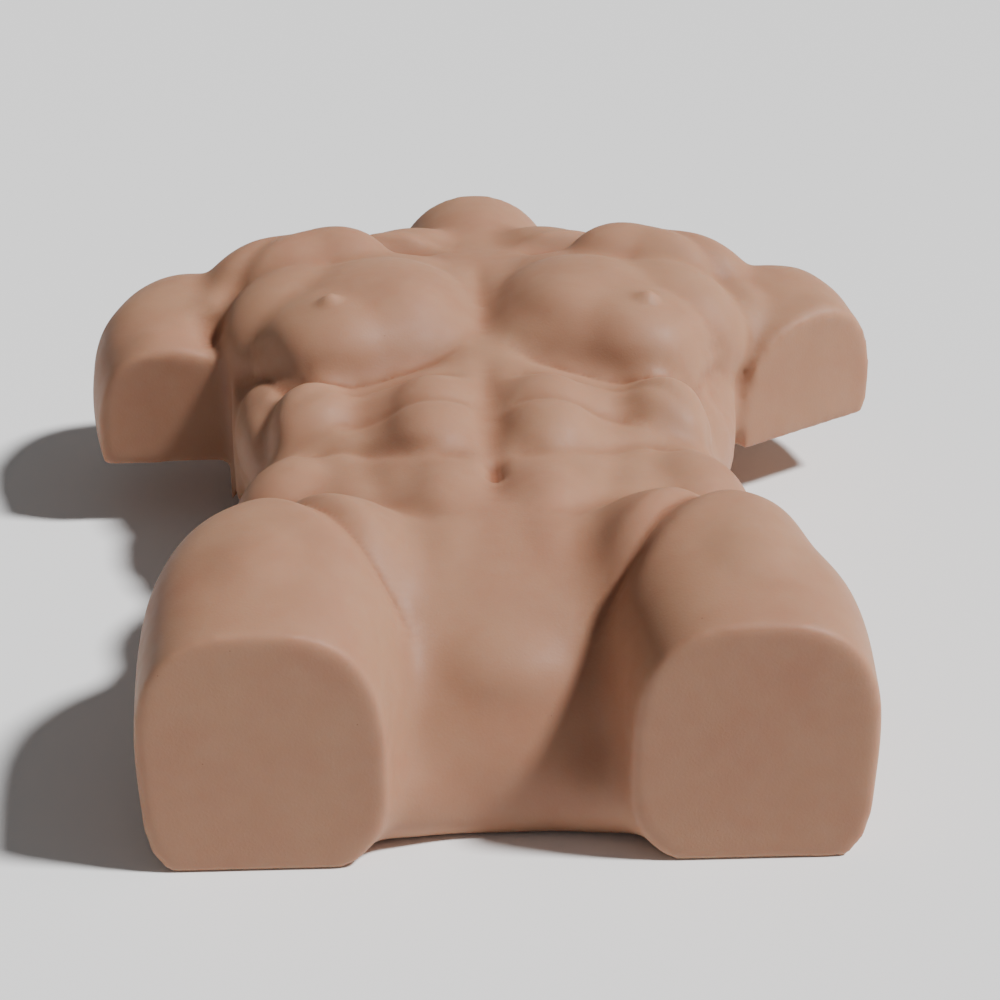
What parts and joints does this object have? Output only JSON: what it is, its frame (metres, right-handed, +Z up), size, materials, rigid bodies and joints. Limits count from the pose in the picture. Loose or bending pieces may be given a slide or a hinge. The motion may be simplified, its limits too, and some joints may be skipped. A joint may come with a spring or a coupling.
{
  "type": "torso mannequin",
  "caption": "Soft headless muscular torso mannequin lying on its back, with arm, thigh and neck stumps cut flat, an elastomer skin, a foam core and a tube frame.",
  "frame": {"origin": "centre of the bounding box's bottom face, on the surface the back rests on", "axes": "+Z up through the front of the body, +Y from the thigh cuts to the neck cut, +X towards the figure's left side"},
  "size_m": [0.5985, 0.7, 0.1925],
  "materials": {
    "skin": "soft satin thermoplastic elastomer",
    "foam": "open-cell polyurethane foam, matt",
    "tubes": "zinc-plated steel tube",
    "fittings": "galvanised malleable iron",
    "plugs": "moulded polyethylene",
    "screws": "blackened alloy steel"
  },
  "bodies": {
    "root": {"skin": "skin", "front_core": "foam", "back_core": "foam", "right_arm_core": "foam", "left_arm_core": "foam", "spine_tube": "tubes", "neck_post": "tubes", "neck_plug": "plugs", "hip_tee": "fittings", "hip_tee_screws": "screws", "shoulder_cross": "fittings", "shoulder_cross_screws": "screws", "right_hip_bar": "tubes", "right_shoulder_bar": "tubes", "right_thigh_post": "tubes", "right_thigh_plug": "plugs", "right_shoulder_plug": "plugs", "right_hip_elbow": "fittings", "right_hip_elbow_screws": "screws", "left_hip_bar": "tubes", "left_shoulder_bar": "tubes", "left_thigh_post": "tubes", "left_thigh_plug": "plugs", "left_shoulder_plug": "plugs", "left_hip_elbow": "fittings", "left_hip_elbow_screws": "screws"}
  },
  "joints": []
}
